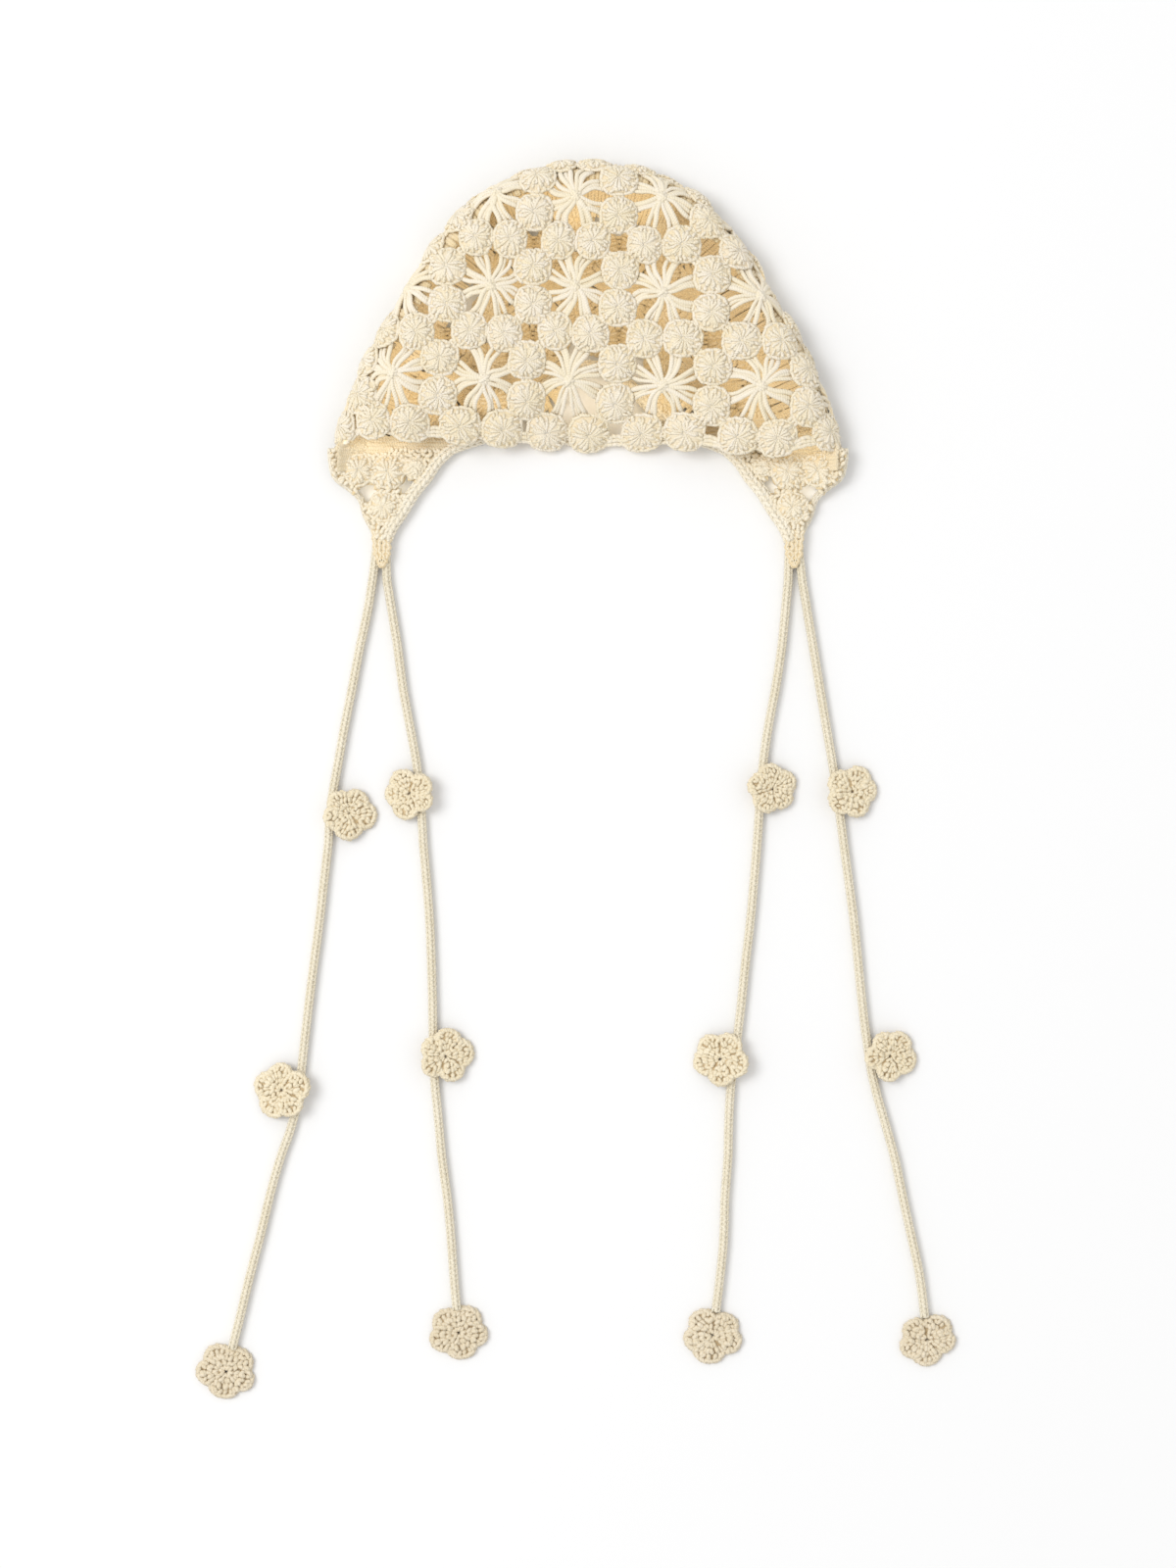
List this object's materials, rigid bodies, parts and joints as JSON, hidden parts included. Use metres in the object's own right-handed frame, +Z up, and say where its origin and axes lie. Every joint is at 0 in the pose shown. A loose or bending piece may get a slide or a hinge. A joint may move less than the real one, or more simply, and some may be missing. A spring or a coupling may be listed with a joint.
{
  "type": "knit hat",
  "caption": "Crocheted openwork bonnet laid flat, with domed rounds and star motifs, edged ear flaps and long ties that carry small flowers.",
  "frame": {"origin": "on the surface that the hat lies on, under the middle of the hat without its ties", "axes": "+X to the viewer's right across the opening, +Y from the ear flaps to the top of the crown, +Z up from the surface"},
  "size_m": [0.3872, 0.6345, 0.0302],
  "materials": {
    "crown_cotton": "matte crocheted cotton, cream",
    "flap_cotton": "matte crocheted cotton, warm cream",
    "edging_cotton": "matte close crochet, cream",
    "tie_cotton": "matte crocheted cord, cream",
    "flower_cotton": "matte crocheted petals, cream"
  },
  "bodies": {
    "root": {"crown": "crown_cotton", "ear_flap_left": "flap_cotton", "ear_flap_right": "flap_cotton", "opening_edging": "edging_cotton", "flap_edging_left": "edging_cotton", "flap_edging_right": "edging_cotton", "tie_left_outer": "tie_cotton", "tie_left_inner": "tie_cotton", "tie_right_inner": "tie_cotton", "tie_right_outer": "tie_cotton", "flower_left_outer_upper": "flower_cotton", "flower_left_outer_middle": "flower_cotton", "flower_left_outer_end": "flower_cotton", "flower_left_inner_upper": "flower_cotton", "flower_left_inner_middle": "flower_cotton", "flower_left_inner_end": "flower_cotton", "flower_right_inner_upper": "flower_cotton", "flower_right_inner_middle": "flower_cotton", "flower_right_inner_end": "flower_cotton", "flower_right_outer_upper": "flower_cotton", "flower_right_outer_middle": "flower_cotton", "flower_right_outer_end": "flower_cotton"}
  },
  "joints": []
}
